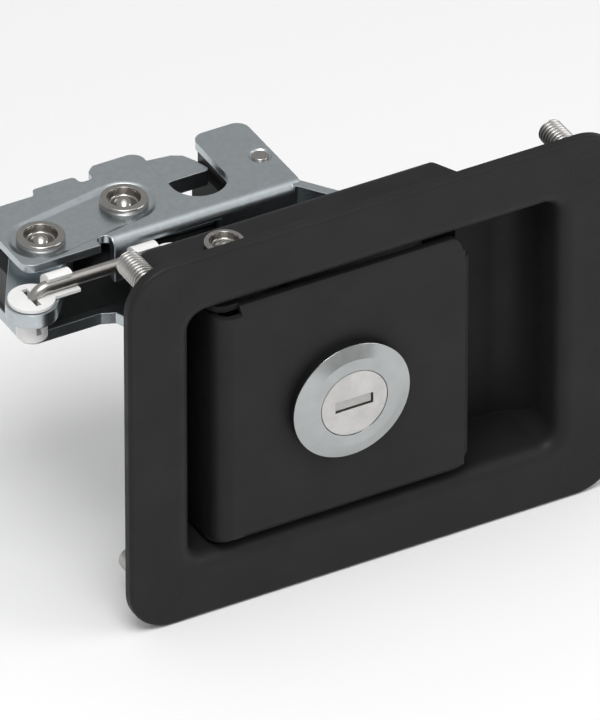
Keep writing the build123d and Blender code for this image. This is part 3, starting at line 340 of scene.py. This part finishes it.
def merged(name, mesh, places):
    """One mesh of several copies of another, each moved to its place."""
    shared = bmesh.new()
    for place in places:
        copy = mesh.copy()
        copy.transform(Matrix.Translation(place))
        shared.from_mesh(copy)
        bpy.data.meshes.remove(copy)
    made = bpy.data.meshes.new(name)
    shared.to_mesh(made)
    shared.free()
    return made


# ---- threaded studs stand for the plain ones ----------------------------------------------
stud_radius = 3.0 * MM
thread_depth = 0.55 * MM
thread_pitch = 1.0 * MM
stud_chamfer = 0.7 * MM

stud_low, stud_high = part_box("mounting_studs")
stud_x = stud_high.x - stud_radius
stud_z = stud_high.z - stud_radius
thread = turned_thread(
    "thread", stud_radius, thread_depth, thread_pitch, stud_low.y, stud_high.y, stud_chamfer
)
stud_places = [Vector((x, 0, z)) for x in (-stud_x, stud_x) for z in (-stud_z, stud_z)]
studs = piece(
    "threaded_studs",
    merged("threaded_studs", thread, stud_places),
    STUD_STEEL,
    "frame",
)
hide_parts("mounting_studs")


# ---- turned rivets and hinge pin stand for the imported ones, with finer rims, cups and domes ----
def cupped_head(radius, cup_radius, cup_depth, dome_radius):
    """Half section of a rivet head from its axis outward, as (radius, height over its rim)."""
    rim = 0.1 * radius
    lip = 0.03 * radius
    dome_height = 0.92 * cup_depth
    dome_steps = 12
    dome = []
    for step in range(dome_steps + 1):
        share = step / dome_steps
        dome.append((dome_radius * share, dome_height * (1.0 - share * share) - cup_depth))
    wall_foot = cup_radius - 0.05 * radius
    return [
        *dome,
        *arc((wall_foot - rim, rim - cup_depth), rim, -90.0, -10.0, 5),
        *arc((cup_radius + lip, -lip), lip, 180.0, 90.0, 4),
        *arc((radius - rim, -rim), rim, 90.0, 0.0, 6),
    ]


def fastener(node, shaft_radius, cup, foot_height, head_height, both_cupped):
    """A cupped rivet or pin along an upright axis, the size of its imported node."""
    low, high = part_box(node)
    x = (low.x + high.x) / 2
    y = (low.y + high.y) / 2
    head_radius = (high.x - low.x) / 2
    head = [(reach, high.z + drop) for reach, drop in cupped_head(head_radius, *cup)]
    head.append((head_radius, high.z - head_height))
    head.append((shaft_radius, high.z - head_height))
    if both_cupped:
        foot = [(reach, low.z - drop) for reach, drop in cupped_head(head_radius, *cup)]
    else:
        rim = 0.5 * foot_height
        foot = [(0.0, low.z)]
        foot += arc((head_radius - rim, low.z + rim), rim, -90.0, 0.0, 6)
    foot.append((head_radius, low.z + foot_height))
    foot.append((shaft_radius, low.z + foot_height))
    made = piece(
        f"turned_{node}",
        turned(f"turned_{node}", head + foot[::-1], x, y),
        MATERIALS["stainless"],
        "frame",
    )
    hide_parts(node)


rivet_shaft_radius = 4.0 * MM
rivet_cup = (3.75 * MM, 2.0 * MM, 2.6 * MM)
rivet_foot_height = 1.6 * MM
pocket_depth = 0.9 * MM

rivet_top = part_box("rotor_rivet")[1].z
plate_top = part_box("latch_top_plate")[1].z
rivet_head_height = rivet_top - plate_top + pocket_depth
for rivet in ("rotor_rivet", "pawl_rivet"):
    fastener(
        rivet, rivet_shaft_radius, rivet_cup, rivet_foot_height, rivet_head_height, False
    )

pin_shaft_radius = 2.5 * MM
pin_cup = (3.35 * MM, 1.7 * MM, 2.3 * MM)
pin_head_height = 2.5 * MM

fastener("hinge_pin", pin_shaft_radius, pin_cup, pin_head_height, pin_head_height, True)


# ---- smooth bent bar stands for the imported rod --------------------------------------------
rod_bend = 4.0 * MM
rod_bend_steps = 16

rod_low, rod_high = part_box("link_rod")
rod_radius = (rod_high.y - rod_low.y) / 2
rod_y = (rod_low.y + rod_high.y) / 2
rod_left = rod_low.x + rod_radius
rod_right = rod_high.x - rod_radius
bend_z = rod_high.z - rod_radius - rod_bend
rod_section = [
    (rod_left, rod_low.z),
    *arc((rod_left + rod_bend, bend_z), rod_bend, 180.0, 90.0, rod_bend_steps),
    *arc((rod_right - rod_bend, bend_z), rod_bend, 90.0, 0.0, rod_bend_steps),
    (rod_right, rod_low.z),
]
smooth_rod = piece(
    "smooth_link_rod",
    round_bar("smooth_link_rod", [Vector((x, rod_y, z)) for x, z in rod_section], rod_radius),
    MATERIALS["polished_rod"],
    "rod_body",
)
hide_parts("link_rod")


# ---- faint weld marks on the flange's face, over each stud --------------------------------
weld_radius = 4.15 * MM
weld_width = 0.5 * MM
weld_height = 0.05 * MM
weld_lift = 0.002 * MM

weld_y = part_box("housing_pan")[0].y - weld_lift
for column, x in enumerate((-stud_x, stud_x)):
    for row, z in enumerate((-stud_z, stud_z)):
        name = f"weld_mark_{column}_{row}"
        mark = ring_mesh(name, weld_radius, weld_width, weld_height, Vector((x, weld_y, z)))
        piece(name, mark, MATERIALS["black_steel"], "frame")


# ---- painted shade: a thin black ring in the gap between the plug and the bezel, just under the plug's face, for the gap's shadow ----
plug_gap = 0.18 * MM
gap_shade_height = 0.02 * MM
gap_shade_setback = 0.08 * MM

plug_low, plug_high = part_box("lock_plug")
plug_radius = (plug_high.x - plug_low.x) / 2
plug_centre = (plug_low + plug_high) / 2
# painted shade: a black rubber ring put where the gap between plug and bezel only holds shadow
piece(
    "plug_gap_shade",
    ring_mesh(
        "plug_gap_shade",
        plug_radius + plug_gap / 2,
        plug_gap,
        gap_shade_height,
        Vector((plug_centre.x, plug_low.y + gap_shade_setback, plug_centre.z)),
    ),
    MATERIALS["black_rubber"],
    "paddle_body",
)


# ---- plain matt floor ---------------------------------------------------------------------
floor_reach = 6.0
floor_drop = 0.1 * MM
floor_colour = (0.9, 0.9, 0.9, 1.0)

floor_z = cad_low.z - floor_drop
floor_corners = [(-1, -1), (1, -1), (1, 1), (-1, 1)]
floor_mesh = mesh_of(
    "floor",
    [(x * floor_reach, y * floor_reach, floor_z) for x, y in floor_corners],
    [(0, 1, 2, 3)],
)
floor = bpy.data.objects.new("floor", floor_mesh)
scene.collection.objects.link(floor)
floor_material = bpy.data.materials.new("pale_floor")
floor_material.use_nodes = True
floor_shader = floor_material.node_tree.nodes["Principled BSDF"]
floor_shader.inputs["Base Color"].default_value = floor_colour
floor_shader.inputs["Roughness"].default_value = 0.9
floor_shader.inputs["Specular IOR Level"].default_value = 0.0
floor_mesh.materials.append(floor_material)

# ---- studio: white below the horizon, and dimmer above, which level metal faces show ------
white_below = -0.4
dim_above = 0.1
dim_strength = 0.47

world = bpy.data.worlds.new("studio")
scene.world = world
world.use_nodes = True
world_tree = world.node_tree
background = world_tree.nodes["Background"]
background.inputs["Color"].default_value = (1.0, 1.0, 1.0, 1.0)
direction = world_tree.nodes.new("ShaderNodeTexCoord")
height = world_tree.nodes.new("ShaderNodeSeparateXYZ")
world_tree.links.new(direction.outputs["Generated"], height.inputs["Vector"])
strength = world_tree.nodes.new("ShaderNodeMapRange")
strength.inputs["From Min"].default_value = white_below
strength.inputs["From Max"].default_value = dim_above
strength.inputs["To Min"].default_value = 1.0
strength.inputs["To Max"].default_value = dim_strength
world_tree.links.new(height.outputs["Z"], strength.inputs["Value"])
world_tree.links.new(strength.outputs["Result"], background.inputs["Strength"])


def soft_lamp(name, offset, size, power):
    """Round area lamp at an offset from the latch's middle, aimed at it."""
    data = bpy.data.lights.new(name, "AREA")
    data.shape = "DISK"
    data.size = size
    data.energy = power
    lamp = bpy.data.objects.new(name, data)
    lamp.location = focus + offset
    lamp.rotation_mode = "QUATERNION"
    lamp.rotation_quaternion = (-offset).to_track_quat("-Z", "Y")
    scene.collection.objects.link(lamp)


focus = (cad_low + cad_high) / 2
soft_lamp("key_light", Vector((-0.22, -0.34, 0.85)), 0.5, 4.2)
soft_lamp("fill_light", Vector((0.6, -0.45, 0.35)), 0.5, 1.5)
soft_lamp("top_light", Vector((-0.15, -0.4, 2.0)), 2.4, 11.0)

# ---- camera: long lens, from the front left and above -------------------------------------
view_azimuth = math.radians(-28.78)
view_elevation = math.radians(35.05)
view_centre = Vector((-17.95 * MM, 0.0, 10.6 * MM))
picture_height = 157.14 * MM
lens = 800.0
sensor = 36.0

camera_data = bpy.data.cameras.new("camera")
camera_data.lens = lens
camera_data.sensor_width = sensor
camera_data.clip_start = 0.1
camera_data.clip_end = 50.0
camera = bpy.data.objects.new("camera", camera_data)
scene.collection.objects.link(camera)
toward_camera = Vector(
    (
        math.sin(view_azimuth) * math.cos(view_elevation),
        -math.cos(view_azimuth) * math.cos(view_elevation),
        math.sin(view_elevation),
    )
)
camera.location = view_centre + toward_camera * (picture_height * lens / sensor)
camera.rotation_mode = "QUATERNION"
camera.rotation_quaternion = (-toward_camera).to_track_quat("-Z", "Y")
scene.camera = camera
scene.view_settings.view_transform = "Standard"
